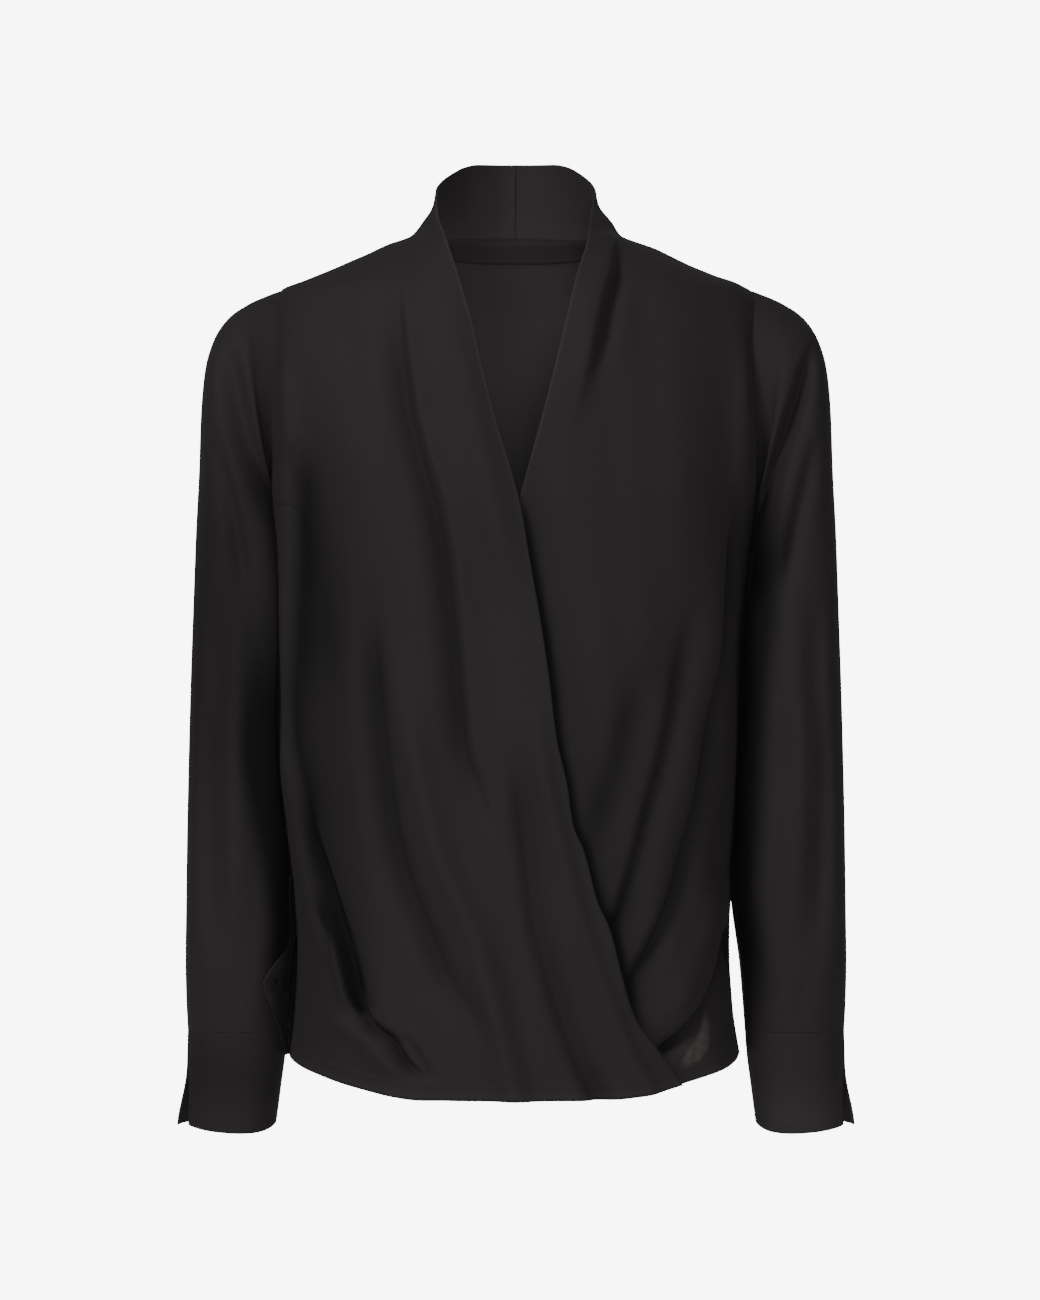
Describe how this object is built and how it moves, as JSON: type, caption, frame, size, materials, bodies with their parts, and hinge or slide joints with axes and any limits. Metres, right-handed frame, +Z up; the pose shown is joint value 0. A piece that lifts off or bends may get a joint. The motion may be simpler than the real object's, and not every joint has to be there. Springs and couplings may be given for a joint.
{
  "type": "wrap top",
  "caption": "Long-sleeved black crepe wrap top, hollow as worn: crossed draped fronts, standing shawl collar, soft folds and slit cuffs",
  "frame": {"origin": "In the middle of the neck, level with the inner ends of the shoulder seams, where the wearer's shoulders hold the top", "axes": "+X to the wearer's left, -Y to the front, +Z up"},
  "size_m": [0.5098, 0.2265, 0.731],
  "materials": {
    "black_crepe": "matte crepe with a faint soft sheen",
    "neck_tape": "matte woven tape",
    "sewing_thread": "twisted thread"
  },
  "bodies": {
    "root": {"back": "black_crepe", "front_right": "black_crepe", "front_left": "black_crepe", "collar_right": "black_crepe", "collar_left": "black_crepe", "neck_tape": "neck_tape", "sleeve_right": "black_crepe", "sleeve_left": "black_crepe", "cuff_right": "black_crepe", "cuff_left": "black_crepe"}
  },
  "joints": []
}
